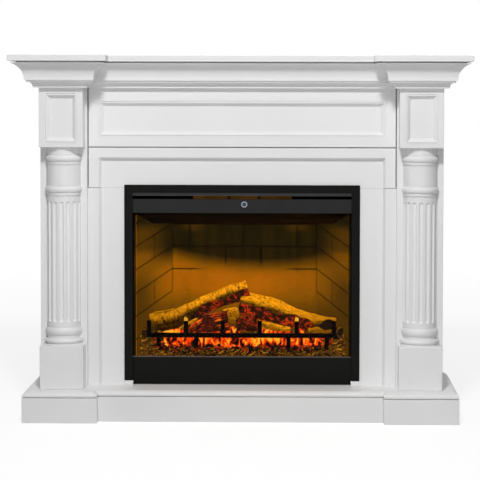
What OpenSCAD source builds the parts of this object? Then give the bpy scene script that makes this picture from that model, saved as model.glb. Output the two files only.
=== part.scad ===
// Painted fireplace mantelpiece: a stepped shelf on a mitred crown moulding, panelled
// frieze blocks on half-round fluted columns, plinths and a stepped hearth, around a
// black electric firebox with a log fire. +Z up, front towards -Y, origin on the floor
// at the middle of the bounding box.

/* [Overall size] */
// Width over the shelf
overall_w = 1250; // [1240:5:1300]
// Depth from the wall to the front of the shelf ends
overall_d = 350; // [340:5:380]
// Height of the shelf top above the floor
overall_h = 1000; // [1000:5:1060]
// Thickness of the boards
board_t = 16; // [14:1:18]
// Chamfer along the edges of the boards
arris = 1; // [0.5:0.1:1.5]

/* [Shelf and crown moulding] */
// Overhang of the shelf beyond the crown moulding
shelf_overhang = 6.3; // [5:0.1:8]
// Height of the crown moulding
crown_h = 71; // [66:1:76]
// How far the crown moulding stands out from the frieze
crown_out = 66; // [62:1:66]

/* [Frieze] */
// Width of a frieze block and of the plinth below it
block_w = 120; // [116:1:122]
// Visible height of a frieze block below the crown
block_h = 163; // [150:1:175]
// How far the block faces stand in front of the facing
block_out = 66; // [62:1:70]
// Depth of the moulded pockets in blocks and frieze
pocket_depth = 11; // [9:1:12]
// Width of the panel moulding in the pockets
moulding_w = 13; // [11:1:15]
// Gap between the facing panels
panel_gap = 2.5; // [2:0.5:5]

/* [Pilasters and columns] */
// Width of the pilaster back board
pilaster_w = 129; // [127:1:131]
// Radius of the fluted shaft
shaft_r = 47.5; // [45:0.5:49]
// Largest radius of the upper beads
bead_r = 52; // [50:0.5:54]
// Largest radius of the base disc
disc_r = 55; // [53:0.5:56]
// Number of flutes round a full circle
flute_count = 16; // [14:2:18]
// Radius of the flute cutter
flute_r = 6.6; // [5.6:0.2:7]
// Height of the plinth blocks
plinth_h = 120.5; // [110:0.5:125]

/* [Facing] */
// Height of the lintel panel
lintel_h = 111; // [105:1:116]
// Thickness of the facing panels
facing_t = 22; // [20:1:25]
// Depth of the sunk field of the facing
sink_depth = 12; // [8:1:14]
// Width of the bevel round the sunk field
sink_bevel = 7; // [5:1:9]
// Half width of the sunk field, outside its bevel
sink_half_w = 398; // [390:1:402]

/* [Hearth] */
// Width of the hearth board
hearth_w = 1190; // [1180:1:1200]
// Height of the hearth surface above the floor
hearth_h = 84.5; // [80:0.5:90]
// Thickness of the hearth board
hearth_t = 16; // [14:0.5:18]
// Width of each forward end of the hearth
hearth_end_w = 205; // [200:1:210]
// How far the hearth ends stand in front of the columns
hearth_out = 42.5; // [38:0.5:46]
// How far the hearth ends stand in front of its middle
hearth_step = 25.5; // [20:0.5:28]

/* [Firebox] */
// Width of the firebox trim
trim_w = 656; // [650:1:660]
// Height of the firebox trim above the floor
trim_top = 644; // [640:1:648]
// Width of the trim at the sides
trim_side = 23; // [20:1:24]
// Width of the trim at the top
trim_head = 22; // [18:1:24]
// Wall of the steel case
case_wall = 1.5; // [1:0.1:2]
// Height of one course of bricks
course_h = 65.4; // [62:0.1:66]
// How far the side courses rise towards the back
course_rise = 50; // [40:1:54]

/* [Hidden] */
$fn = 96;

back_y = overall_d / 2;
front_y = -overall_d / 2;
block_y = front_y + shelf_overhang + crown_out;
facing_y = block_y + block_out;
pilaster_y = facing_y - board_t;
shelf_z = overall_h - board_t;
crown_z = shelf_z - crown_h;
block_z = crown_z - block_h;
plinth_top = hearth_h + plinth_h;
block_half = block_w / 2;
column_x = overall_w / 2 - shelf_overhang - crown_out - block_half;
block_inner = column_x - block_half;
block_outer = column_x + block_half;
pilaster_inner = column_x - pilaster_w / 2;
pilaster_outer = column_x + pilaster_w / 2;
panel_half_w = pilaster_inner - 2;
lintel_top = block_z - panel_gap;
lintel_z = lintel_top - lintel_h;
sink_y = facing_y + sink_depth;
opening_half = 316;

// Heights on the column, from the plinth to the frieze block
fillet_z = plinth_top + 4;
disc_top = plinth_top + 17;
base_bead_z = plinth_top + 25;
shaft_z = plinth_top + 49;
shaft_top = plinth_top + 410;
ring_low = plinth_top + 413;
ring_h = 3.5;
lower_bead_z = plinth_top + 419;
neck_z = plinth_top + 438.5;
neck_top = block_z - 49;
ring_high = block_z - 46.5;
upper_bead_z = block_z - 40.5;
upper_bead_top = block_z - 21.5;
column_axis_y = pilaster_y + 6;
core_r = 46;
quirk_r = 46.5;
ring_r = 49;
fillet_r = 52;
cap_r = 50;
cap_t = 5;
flute_depth = 5;
flute_margin = 14;
flute_axis = shaft_r + flute_r - flute_depth;

// Firebox planes, from the front to the back
trim_y = sink_y - 6;
header_y = sink_y + 2;
glass_y = sink_y + 6;
glass_t = 4;
hearth_wall_front = glass_y + glass_t + 6;
back_wall_y = sink_y + 180;
case_back_y = back_wall_y + 9;
case_half_w = 312;
case_top = lintel_z - 3;
chamber_front_half = 297;
chamber_back_half = 211;
header_z = 565;
slot_z = 604;
lip_z = 613;
skirt_top = 163;
canopy_z = 529;
bed_z = 110;
bed_front_h = 52;
bed_rise_h = 66;
bed_log_h = 90;
bed_back_h = 95;
heater_half_w = 139;
side_wall_l = norm([chamber_front_half - chamber_back_half, back_wall_y - hearth_wall_front]);
side_wall_turn = atan((chamber_front_half - chamber_back_half) / (back_wall_y - hearth_wall_front));
mortar_w = 4;
mortar_depth = 2;
brick_t = 7;
brick_top = 520;
// Run of the slope of the canopy behind the glass
canopy_run = 76;
canopy_y = hearth_wall_front - 4;
canopy_t = 2;
// Length of the longer bricks of the back wall
brick_l = 156;
grate_y = hearth_wall_front + 12;
grate_z = 212;
grate_half_w = 268;
grate_bar = 12;
grate_pitch = 104;
grate_stop_h = 47;

// ---------- shared shapes ----------

module chamfered_rectangle(a, b, c)
    polygon([[c, 0], [a - c, 0], [a, c], [a, b - c], [a - c, b], [c, b], [0, b - c], [0, c]]);

// Board between two opposite corners, chamfered along all its edges
module board(low, high, c = arris) {
    size = high - low;
    translate(low)
        intersection() {
            linear_extrude(size.z)
                chamfered_rectangle(size.x, size.y, c);
            translate([0, size.y, 0])
                rotate([90, 0, 0])
                    linear_extrude(size.y)
                        chamfered_rectangle(size.x, size.z, c);
            rotate([90, 0, 90])
                linear_extrude(size.x)
                    chamfered_rectangle(size.y, size.z, c);
        }
}

// Plain block between two opposite corners
module block(low, high)
    translate(low)
        cube(high - low);

// Puts a right-hand shape on the side asked for: 1 right, -1 left
module on_side(side)
    mirror([side < 0 ? 1 : 0, 0, 0])
        children();

// Length of moulding along +X, standing on the XZ plane and out towards -Y. The
// children are its section, outward distance across and height up. A mitre of 1 is an
// outside corner, -1 an inside corner and 0 a square end.
module moulding_run(length, start_mitre, end_mitre, reach) {
    difference() {
        translate([-reach, 0, 0])
            rotate([90, 0, 90])
                linear_extrude(length + 2 * reach)
                    mirror([1, 0])
                        children();
        rotate([0, 0, -45 * start_mitre])
            translate([-3 * reach, -3 * reach, -reach])
                cube([3 * reach, 6 * reach, 3 * reach + crown_h]);
        translate([length, 0, 0])
            rotate([0, 0, 45 * end_mitre])
                translate([0, -3 * reach, -reach])
                    cube([3 * reach, 6 * reach, 3 * reach + crown_h]);
    }
}

// ---------- shelf and crown ----------

module shelf_board() color("white")
    union() {
        board([-overall_w / 2, front_y + block_out, shelf_z], [overall_w / 2, back_y, overall_h]);
        for (side = [-1, 1])
            on_side(side)
                board([block_inner - crown_out - shelf_overhang, front_y, shelf_z],
                    [overall_w / 2, back_y, overall_h]);
    }

// Section of the crown: fillet, cove, two steps, deep cavetto and a shadow gap at the top
module crown_section() {
    gap_h = 3.5;
    gap_depth = 14;
    top_fillet = gap_h + 1.2;
    step_z = 22.5;
    step_out = 34;
    ledge_z = 20;
    ledge_out = 29;
    cavetto_run = crown_out - step_out;
    cavetto_rise = crown_h - top_fillet - step_z;
    cavetto_r = cavetto_rise / sin(2 * atan(cavetto_run / cavetto_rise));
    cove_r = 12;
    cove_z = 3;
    cove_out = 26;
    difference() {
        translate([0, step_z])
            square([crown_out, crown_h - step_z]);
        translate([step_out + cavetto_r, step_z])
            circle(cavetto_r);
        translate([crown_out - gap_depth, crown_h - gap_h])
            square([gap_depth + 1, gap_h + 1]);
    }
    translate([0, ledge_z])
        square([step_out, step_z - ledge_z]);
    translate([0, cove_z + cove_r])
        square([ledge_out, ledge_z - cove_z - cove_r]);
    difference() {
        square([cove_out, cove_z + cove_r]);
        translate([cove_out, cove_z])
            circle(cove_r);
        translate([cove_out - cove_r, 0])
            square([cove_r, cove_z]);
    }
}

module crown_centre() color("white")
    translate([-block_inner, facing_y, crown_z])
        moulding_run(2 * block_inner, -1, -1, crown_out)
            crown_section();

// Return of the crown along the inner face of a frieze block
module crown_inner(side) color("white")
    on_side(side)
        translate([block_inner, facing_y, crown_z])
            rotate([0, 0, -90])
                moulding_run(block_out, -1, 1, crown_out)
                    crown_section();

module crown_front(side) color("white")
    on_side(side)
        translate([block_inner, block_y, crown_z])
            moulding_run(block_w, 1, 1, crown_out)
                crown_section();

// Return of the crown along the outer face, back to the wall
module crown_outer(side) color("white")
    on_side(side)
        translate([block_outer, block_y, crown_z])
            rotate([0, 0, 90])
                moulding_run(back_y - block_y, 1, 0, crown_out)
                    crown_section();

// ---------- frieze ----------

pocket_x = block_half - 16;
pocket_low = block_z + 13;
pocket_high = crown_z - 16;
frieze_pocket_x = 397;
frieze_pocket_low = block_z + 30;
frieze_pocket_high = crown_z - 37;

// Section of the panel moulding: quirk, bead, quirk and bevel
module panel_moulding_section() {
    bead = 2.2;
    ledge = pocket_depth - 3;
    polygon([[0, 0], [moulding_w, 0], [moulding_w, 0.8], [6.2, ledge - 0.6], [6.2, ledge], [0, ledge]]);
    translate([3.4, ledge])
        circle(bead);
}

// Ring of panel moulding, mitred round a pocket of the facing plane
module panel_moulding(half_w, low, high, face_y) {
    length = [2 * half_w, high - low];
    middle = (low + high) / 2;
    for (k = [0 : 3])
        translate([0, face_y + pocket_depth, middle])
            rotate([0, 90 * k, 0])
                translate([-length[k % 2] / 2, 0, -length[(k + 1) % 2] / 2])
                    rotate([90, 0, 0])
                        moulding_run_flat(length[k % 2])
                            panel_moulding_section();
}

// Length of moulding along +X that stands out of its plane and runs inward as +Y
module moulding_run_flat(length)
    difference() {
        rotate([90, 0, 90])
            linear_extrude(length)
                children();
        rotate([0, 0, 45])
            translate([-2 * moulding_w, -moulding_w, -1])
                cube([2 * moulding_w, 4 * moulding_w, 4 * pocket_depth]);
        translate([length, 0, 0])
            rotate([0, 0, -45])
                translate([0, -moulding_w, -1])
                    cube([2 * moulding_w, 4 * moulding_w, 4 * pocket_depth]);
    }

module frieze_panel() color("white")
    difference() {
        board([-panel_half_w, facing_y, block_z], [panel_half_w, facing_y + facing_t, shelf_z]);
        block([-frieze_pocket_x, facing_y - 1, frieze_pocket_low],
            [frieze_pocket_x, facing_y + pocket_depth, frieze_pocket_high]);
    }

module frieze_moulding() color("white")
    panel_moulding(frieze_pocket_x, frieze_pocket_low, frieze_pocket_high, facing_y);

module frieze_block(side) color("white")
    translate([side * column_x, 0, 0])
        difference() {
            board([-block_half, block_y, block_z], [block_half, pilaster_y, shelf_z]);
            block([-pocket_x, block_y - 1, pocket_low], [pocket_x, block_y + pocket_depth, pocket_high]);
        }

module block_moulding(side) color("white")
    translate([side * column_x, 0, 0])
        panel_moulding(pocket_x, pocket_low, pocket_high, block_y);

// ---------- columns and plinths ----------

// Bulge of a bead between two heights, as an arc that leaves the given radius
module bead_section(r, low, high, from_r) {
    out = r - from_r;
    arc_r = (pow((high - low) / 2, 2) + out * out) / (2 * out);
    intersection() {
        translate([r - arc_r, (low + high) / 2])
            circle(arc_r);
        translate([0, low])
            square([r + 1, high - low]);
    }
}

module band_section(r, low, high)
    translate([0, low])
        square([r, high - low]);

module column_section() {
    band_section(core_r, plinth_top, block_z);
    band_section(fillet_r, plinth_top, fillet_z);
    bead_section(disc_r, fillet_z, disc_top, cap_r);
    bead_section(bead_r - 0.5, base_bead_z, shaft_z, quirk_r);
    band_section(shaft_r, shaft_z, shaft_top);
    band_section(ring_r, ring_low, ring_low + ring_h);
    bead_section(bead_r, lower_bead_z, neck_z, quirk_r);
    band_section(shaft_r, neck_z, neck_top);
    band_section(ring_r, ring_high, ring_high + ring_h);
    bead_section(bead_r, upper_bead_z, upper_bead_top, quirk_r);
    band_section(shaft_r, upper_bead_top, block_z - cap_t);
    band_section(cap_r, block_z - cap_t, block_z);
}

module flute() {
    low = shaft_z + flute_margin + flute_r;
    high = shaft_top - flute_margin - flute_r;
    translate([0, -flute_axis, low])
        cylinder(h = high - low, r = flute_r);
    for (z = [low, high])
        translate([0, -flute_axis, z])
            sphere(flute_r);
}

// Fluted column, cut flat where it meets the pilaster board
module column(side) color("white")
    translate([side * column_x, column_axis_y, 0])
        difference() {
            rotate_extrude()
                column_section();
            translate([-disc_r - 5, pilaster_y - column_axis_y, 0])
                cube([2 * disc_r + 10, 2 * disc_r, overall_h]);
            for (k = [-3 : 3])
                rotate([0, 0, k * 360 / flute_count])
                    flute();
        }

module plinth_block(side) color("white")
    translate([side * column_x, 0, 0])
        board([-block_half, block_y, hearth_h], [block_half, pilaster_y, plinth_top], 1.5);

// Back board of the pilaster, narrowed behind the crown moulding
module pilaster_board(side) color("white")
    on_side(side)
        union() {
            board([pilaster_inner, pilaster_y, hearth_h], [pilaster_outer, facing_y, crown_z]);
            block([block_inner, pilaster_y, crown_z - 5], [block_outer, facing_y, shelf_z]);
        }

// Side of the carcass, rebated for the crown moulding
module side_panel(side) color("white")
    on_side(side)
        union() {
            board([pilaster_outer - board_t, facing_y, hearth_h], [pilaster_outer, back_y, crown_z]);
            block([pilaster_outer - board_t + 2, facing_y, crown_z - 5], [block_outer, back_y, shelf_z]);
        }

// ---------- facing ----------

// Wedge that sinks the field: a bevel from its edge down to its full depth
module sink_side_section(half_w)
    polygon([[-half_w, -1], [half_w, -1], [half_w, 0], [half_w - sink_bevel, sink_depth],
        [sink_bevel - half_w, sink_depth], [-half_w, 0]]);

module lintel_panel() color("white") {
    border = 27;
    difference() {
        board([-panel_half_w, facing_y, lintel_z], [panel_half_w, facing_y + facing_t, lintel_top]);
        translate([0, facing_y, lintel_z - 1])
            intersection() {
                linear_extrude(lintel_h)
                    sink_side_section(sink_half_w);
                rotate([90, 0, 90])
                    translate([0, 0, -overall_w / 2])
                        linear_extrude(overall_w)
                            polygon([[-1, 0], [sink_depth, 0],
                                [sink_depth, lintel_h + 1 - border - sink_bevel],
                                [0, lintel_h + 1 - border], [-1, lintel_h + 1 - border]]);
            }
    }
}

// Upright of the facing: a flat border, a bevel and the sunk field up to the opening
module leg(side) color("white")
    on_side(side)
        translate([0, facing_y, hearth_h])
            linear_extrude(lintel_z - hearth_h - 1)
                polygon([[opening_half, sink_depth], [sink_half_w - sink_bevel, sink_depth],
                    [sink_half_w, 0], [pilaster_inner, 0], [pilaster_inner, facing_t],
                    [opening_half, facing_t]]);

// ---------- hearth ----------

hearth_front_y = block_y - hearth_out;
hearth_mid_y = hearth_front_y + hearth_step;
hearth_low = hearth_h - hearth_t;
hearth_half = hearth_w / 2;

// Section of the hearth board up to one edge: a recess below and a rounded nosing
module nosing_section(depth) {
    inset = 17;
    rise = 9;
    nose_r = (inset * inset + rise * rise) / (2 * rise);
    lift = 0.3; // the round runs out through the top face
    recess_h = 2.5;
    recess_depth = 9;
    square([depth - recess_depth, recess_h + 1]);
    intersection() {
        translate([0, recess_h])
            square([depth, hearth_t - recess_h]);
        union() {
            translate([depth - inset, hearth_t + lift - nose_r])
                circle(nose_r);
            square([depth - inset, hearth_t]);
        }
    }
}

// Slab of the hearth with a rounded nosing to the front and both sides
module hearth_slab(low_x, high_x, low_y)
    intersection() {
        translate([low_x, back_y, hearth_low])
            rotate([90, 0, 90])
                linear_extrude(high_x - low_x)
                    mirror([1, 0])
                        nosing_section(back_y - low_y);
        translate([(low_x + high_x) / 2, back_y, hearth_low])
            rotate([90, 0, 0])
                linear_extrude(back_y - low_y)
                    for (flip = [0, 1])
                        mirror([flip, 0])
                            nosing_section((high_x - low_x) / 2);
    }

module hearth_board() color("white")
    union() {
        hearth_slab(-hearth_half, hearth_half, hearth_mid_y);
        hearth_slab(-hearth_half, hearth_end_w - hearth_half, hearth_front_y);
        hearth_slab(hearth_half - hearth_end_w, hearth_half, hearth_front_y);
    }

module apron_centre() color("white")
    board([-hearth_half + hearth_end_w, hearth_mid_y, 0],
        [hearth_half - hearth_end_w, hearth_mid_y + board_t, hearth_low]);

// Front of a hearth end, with the short return to the middle apron
module apron_end(side) color("white")
    on_side(side)
        union() {
            board([hearth_half - hearth_end_w, hearth_front_y, 0],
                [hearth_half, hearth_front_y + board_t, hearth_low]);
            board([hearth_half - hearth_end_w, hearth_front_y, 0],
                [hearth_half - hearth_end_w + board_t, hearth_mid_y + board_t, hearth_low]);
        }

module apron_side(side) color("white")
    on_side(side)
        board([hearth_half - board_t, hearth_front_y + board_t, 0], [hearth_half, back_y, hearth_low]);

// ---------- rails behind the facing ----------

inside_half = pilaster_outer - board_t;

module frieze_batten() color("white")
    board([-inside_half, facing_y + facing_t, lintel_top - 25],
        [inside_half, facing_y + facing_t + 18, block_z + 25]);

// Upright cleat behind the joint between the facing and the pilaster board
module cleat(side) color("white")
    on_side(side)
        board([panel_half_w - 25, facing_y + facing_t, hearth_h],
            [inside_half, facing_y + facing_t + 16, lintel_top - 27]);

module frieze_cleat(side) color("white")
    on_side(side)
        board([panel_half_w - 25, facing_y + facing_t, block_z + 27],
            [inside_half, facing_y + facing_t + 16, shelf_z]);

module rear_rail_top() color("burlywood")
    board([-inside_half, back_y - board_t, shelf_z - 90], [inside_half, back_y, shelf_z]);

module rear_rail_bottom() color("burlywood")
    board([-hearth_half + board_t, back_y - board_t, 0], [hearth_half - board_t, back_y, hearth_low]);

// ---------- firebox ----------

vent_pitch = 32;

// Open-fronted case of folded steel sheet, with a row of vents above the canopy
module firebox_case() color("dimgray")
    difference() {
        block([-case_half_w, sink_y + 3, hearth_h], [case_half_w, case_back_y, case_top]);
        block([-case_half_w + case_wall, sink_y + 2, hearth_h + case_wall],
            [case_half_w - case_wall, case_back_y - case_wall, case_top - case_wall]);
        for (k = [0 : 9])
            block([vent_pitch * (k - 4.5) - 6, case_back_y - 5, canopy_z + 8],
                [vent_pitch * (k - 4.5) + 6, case_back_y + 1, canopy_z + 38]);
    }

trim_low = hearth_h + 12;

// Flat trim that laps over the facing, down both sides and across the head
module trim_frame() color("black")
    difference() {
        board([-trim_w / 2, trim_y, trim_low], [trim_w / 2, sink_y, trim_top], 0.8);
        block([trim_side - trim_w / 2, trim_y - 1, trim_low - 1],
            [trim_w / 2 - trim_side, sink_y + 1, trim_top - trim_head]);
    }

bar_half = case_half_w - case_wall;
button_x = 6;
button_z = header_z + 24.7;
button_r = 8.2;
button_h = 3;

// Bar folded from sheet steel: a front face with four flanges, open behind
module folded_bar(low, high)
    difference() {
        board(low, high, 0.8);
        block([low.x + case_wall, low.y + case_wall, low.z + case_wall],
            [high.x - case_wall, high.y + 1, high.z - case_wall]);
    }

module lip_bar() color("gray")
    board([-bar_half, header_y, lip_z], [bar_half, header_y + 10, trim_top - trim_head + 2], 0.8);

module header_bar() color("dimgray")
    folded_bar([-bar_half, header_y, header_z], [bar_half, glass_y + glass_t + 2, slot_z]);

// Round push button on the header bar, dished inside its rim
module round_button() color("silver")
    translate([button_x, header_y, button_z])
        rotate([90, 0, 0])
            difference() {
                cylinder(h = button_h, r = button_r);
                translate([0, 0, button_h - 1])
                    cylinder(h = 2, r = button_r - 1.8);
            }

module glass_pane() color("lightblue", 0.3)
    block([-bar_half, glass_y, skirt_top], [bar_half, glass_y + glass_t, header_z]);

module lower_skirt() color("black")
    folded_bar([-bar_half, header_y, hearth_h + 3], [bar_half, glass_y + glass_t + 2, skirt_top]);

// White packing block under the foot of the trim
module corner_block(side) color("white")
    on_side(side)
        board([trim_w / 2 - 24, trim_y + 0.5, hearth_h], [trim_w / 2 - 1, sink_y, trim_low], 0.8);

// Bent plate over the fire: slopes down behind the header, then runs flat to the back
module canopy_plate() color("dimgray")
    translate([-bar_half, 0, 0])
        rotate([90, 0, 90])
            linear_extrude(2 * bar_half)
                polygon([[canopy_y, header_z + 6], [canopy_y + canopy_run, canopy_z],
                    [back_wall_y - 1, canopy_z], [back_wall_y - 1, canopy_z + canopy_t],
                    [canopy_y + canopy_run + 1, canopy_z + canopy_t],
                    [canopy_y, header_z + 6 + canopy_t]]);

// Back brick panel with its mortar joints
module brick_back() color("peru")
    difference() {
        block([-chamber_back_half, back_wall_y, bed_z],
            [chamber_back_half, back_wall_y + brick_t, canopy_z - 1]);
        for (row = [0 : 5]) {
            course_top = brick_top - course_h * row;
            joint_low = max(bed_z, course_top - course_h);
            block([-chamber_back_half - 1, back_wall_y - 1, course_top - mortar_w / 2],
                [chamber_back_half + 1, back_wall_y + mortar_depth, course_top + mortar_w / 2]);
            for (x = row % 2 == 0 ? [-brick_l, 0, brick_l] : [-brick_l / 3, brick_l / 3])
                block([x - mortar_w / 2 - 3, back_wall_y - 1, joint_low],
                    [x + mortar_w / 2 - 3, back_wall_y + mortar_depth, course_top]);
        }
    }

// Splayed side panel, whose courses climb towards the back
module brick_side(side) color("peru")
    on_side(side)
        translate([chamber_front_half, hearth_wall_front, 0])
            rotate([0, 0, side_wall_turn])
                difference() {
                    translate([0, 0, bed_z])
                        rotate([90, 0, 90])
                            linear_extrude(brick_t)
                                polygon([[0, 0], [side_wall_l, 0], [side_wall_l, canopy_z - bed_z - 2],
                                    [(canopy_run + 8) / cos(side_wall_turn), canopy_z - bed_z - 2],
                                    [0, header_z - bed_z - 6]]);
                    for (row = [-1 : 5])
                        translate([-1, side_wall_l, brick_top - course_h * row]) {
                            rotate([atan(course_rise / side_wall_l), 0, 0])
                                translate([0, -side_wall_l * 1.2, -mortar_w / 2])
                                    cube([1 + mortar_depth, side_wall_l * 1.4, mortar_w]);
                            if (row % 2 == 0)
                                translate([0, -side_wall_l / 2, -course_h - course_rise / 2])
                                    cube([1 + mortar_depth, mortar_w, course_h]);
                        }
                }

// Side outline of the ember bed, lowered and pulled in by its wall for the hollow below
module bed_outline(wall)
    polygon([[hearth_wall_front + wall, bed_z - wall], [back_wall_y - 1 - wall, bed_z - wall],
        [back_wall_y - 1 - wall, bed_z + bed_back_h - wall],
        [hearth_wall_front + 60, bed_z + bed_log_h - wall],
        [hearth_wall_front + 20, bed_z + bed_rise_h - wall],
        [hearth_wall_front + wall, bed_z + bed_front_h - wall]]);

module bed_plan(wall)
    polygon([[2 + wall - chamber_front_half, hearth_wall_front],
        [chamber_front_half - 2 - wall, hearth_wall_front],
        [chamber_back_half - 2 - wall, back_wall_y],
        [2 + wall - chamber_back_half, back_wall_y]]);

module bed_solid(wall)
    intersection() {
        translate([-chamber_front_half, 0, 0])
            rotate([90, 0, 90])
                linear_extrude(2 * chamber_front_half)
                    bed_outline(wall);
        linear_extrude(header_z)
            bed_plan(wall);
    }

// Moulded bed of embers, a shell that is low at the glass and high under the logs
module ember_bed() color("orangered")
    difference() {
        bed_solid(0);
        bed_solid(4);
    }

// Grate: a long front bar with upright stops and feet in the embers
module fire_grate() color("black")
    union() {
        block([-grate_half_w, grate_y, grate_z], [grate_half_w, grate_y + grate_bar, grate_z + grate_bar]);
        for (k = [-5 : 2 : 5])
            grate_upright(k * grate_pitch / 2 - 3, grate_z, grate_z + grate_stop_h);
        for (x = [-236, -130, 130, 238])
            grate_upright(x, bed_z + bed_front_h + 3, grate_z + 4);
    }

module grate_upright(x, low, high)
    block([x - grate_bar / 2, grate_y, low], [x + grate_bar / 2, grate_y + grate_bar, high]);

// Log from one end point to the other
module log_between(a, b, r_a, r_b) color("sienna") {
    run = b - a;
    translate(a)
        rotate([0, acos(run.z / norm(run)), atan2(run.y, run.x)])
            cylinder(h = norm(run), r1 = r_a, r2 = r_b);
}

log_y = grate_y + grate_bar + 30;

module log_left()
    log_between([-256, log_y, 247], [14, log_y + 17, 338], 28, 27);

module log_right()
    log_between([-6, log_y + 14, 302], [258, log_y + 2, 243], 34, 21);

module log_front()
    log_between([-150, log_y - 12, 238], [-38, log_y - 8, 252], 15, 20);

module log_middle()
    log_between([-18, log_y - 10, 244], [42, log_y - 10, 243], 20, 19);

// Blower housing over the canopy, open to the slot in front
module heater_box() color("dimgray")
    difference() {
        block([-heater_half_w, header_y + 14, slot_z - 14], [heater_half_w, header_y + 90, lip_z + 12]);
        block([case_wall - heater_half_w, header_y + 13, slot_z - 14 + case_wall],
            [heater_half_w - case_wall, header_y + 90 - case_wall, lip_z + 12 - case_wall]);
    }

// Rubber grommet where the mains lead enters the back of the case
module cable_grommet() color("black")
    translate([240, case_back_y, 150])
        rotate([-90, 0, 0])
            difference() {
                cylinder(h = 8, r1 = 11, r2 = 9);
                translate([0, 0, 2])
                    cylinder(h = 7, r = 4);
            }

// ---------- nodes ----------

shelf_board();
crown_centre();
crown_inner(-1);  // crown_left_inner
crown_inner(1);  // crown_right_inner
crown_front(-1);  // crown_left_front
crown_front(1);  // crown_right_front
crown_outer(-1);  // crown_left_outer
crown_outer(1);  // crown_right_outer
frieze_panel();
frieze_moulding();
frieze_block(-1);  // frieze_block_left
frieze_block(1);  // frieze_block_right
block_moulding(-1);  // block_moulding_left
block_moulding(1);  // block_moulding_right
column(-1);  // column_left
column(1);  // column_right
plinth_block(-1);  // plinth_block_left
plinth_block(1);  // plinth_block_right
pilaster_board(-1);  // pilaster_board_left
pilaster_board(1);  // pilaster_board_right
side_panel(-1);  // side_panel_left
side_panel(1);  // side_panel_right
lintel_panel();
leg(-1);  // leg_left
leg(1);  // leg_right
hearth_board();
apron_centre();
apron_end(-1);  // apron_left
apron_end(1);  // apron_right
apron_side(-1);  // apron_side_left
apron_side(1);  // apron_side_right
frieze_batten();
cleat(-1);  // cleat_left
cleat(1);  // cleat_right
frieze_cleat(-1);  // frieze_cleat_left
frieze_cleat(1);  // frieze_cleat_right
rear_rail_top();
rear_rail_bottom();
firebox_case();
trim_frame();
lip_bar();
header_bar();
round_button();
glass_pane();
lower_skirt();
corner_block(-1);  // corner_block_left
corner_block(1);  // corner_block_right
canopy_plate();
heater_box();
brick_back();
brick_side(-1);  // brick_left
brick_side(1);  // brick_right
ember_bed();
fire_grate();
log_left();
log_right();
log_front();
log_middle();
cable_grommet();
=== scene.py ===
from math import radians

import bpy
import numpy as np
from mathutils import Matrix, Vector


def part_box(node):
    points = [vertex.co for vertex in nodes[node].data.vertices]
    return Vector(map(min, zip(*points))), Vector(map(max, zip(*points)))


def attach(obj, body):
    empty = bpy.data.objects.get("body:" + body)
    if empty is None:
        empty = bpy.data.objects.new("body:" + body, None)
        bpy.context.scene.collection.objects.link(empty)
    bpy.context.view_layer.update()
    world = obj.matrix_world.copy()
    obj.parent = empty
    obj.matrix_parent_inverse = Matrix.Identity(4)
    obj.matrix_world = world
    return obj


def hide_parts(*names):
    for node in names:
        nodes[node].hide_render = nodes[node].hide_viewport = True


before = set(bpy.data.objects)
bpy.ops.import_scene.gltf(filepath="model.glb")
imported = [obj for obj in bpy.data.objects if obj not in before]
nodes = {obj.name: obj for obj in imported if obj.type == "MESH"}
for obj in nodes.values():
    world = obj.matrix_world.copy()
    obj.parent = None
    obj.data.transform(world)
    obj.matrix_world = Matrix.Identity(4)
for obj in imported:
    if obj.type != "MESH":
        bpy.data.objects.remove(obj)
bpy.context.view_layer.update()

rng = np.random.default_rng(11)
latticeSize = 48
lattice = rng.random((latticeSize,) * 3)
print("frame loaded:", len(nodes), "parts")


def smoothNoise(x, y, z):
    # random values on a lattice of unit cells, blended with s*s*(3-2s) along each axis; result 0..1
    cell = [np.floor(a).astype(int) for a in (x, y, z)]
    part = [a - c for a, c in zip((x, y, z), cell)]
    blend = [s * s * (3 - 2 * s) for s in part]
    total = np.zeros(np.broadcast(x, y, z).shape)
    for corner in range(8):
        step = [corner & 1, corner >> 1 & 1, corner >> 2 & 1]
        weight = 1.0
        for s, b in zip(step, blend):
            weight = weight * (b if s else 1 - b)
        total += weight * lattice[tuple((c + s) % latticeSize for c, s in zip(cell, step))]
    return total


def layeredNoise(x, y, z, layers=4):
    # sum of noises, each at twice the frequency and half the height of the last, scaled to -1..1
    total, height, reach = 0.0, 1.0, 0.0
    for layer in range(layers):
        shift = 7.3 * layer  # keeps the layers from lining up
        total = total + height * (2 * smoothNoise(x + shift, y - shift, z + shift) - 1)
        x, y, z, reach, height = 2 * x, 2 * y, 2 * z, reach + height, height / 2
    return total / reach


def softStep(low, high, x):
    # 0 below low, 1 above high and s*s*(3-2s) between them
    s = np.clip((x - low) / (high - low), 0, 1)
    return s * s * (3 - 2 * s)


def newPiece(name, vertices, faces, material, smooth=True, marks=None):
    # one mesh object that rides on the body; marks holds point attributes by name
    mesh = bpy.data.meshes.new(name)
    mesh.from_pydata(np.asarray(vertices, float).reshape(-1, 3).tolist(), [], faces)
    mesh.polygons.foreach_set("use_smooth", np.full(len(mesh.polygons), smooth))
    for key, values in (marks or {}).items():
        flat = np.ndim(values) == 1
        layer = mesh.attributes.new(key, "FLOAT" if flat else "FLOAT_VECTOR", "POINT")
        layer.data.foreach_set("value" if flat else "vector", np.asarray(values, np.float32).ravel())
    mesh.update()
    mesh.materials.append(material)
    piece = bpy.data.objects.new(name, mesh)
    bpy.context.scene.collection.objects.link(piece)
    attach(piece, "root")
    return piece


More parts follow.
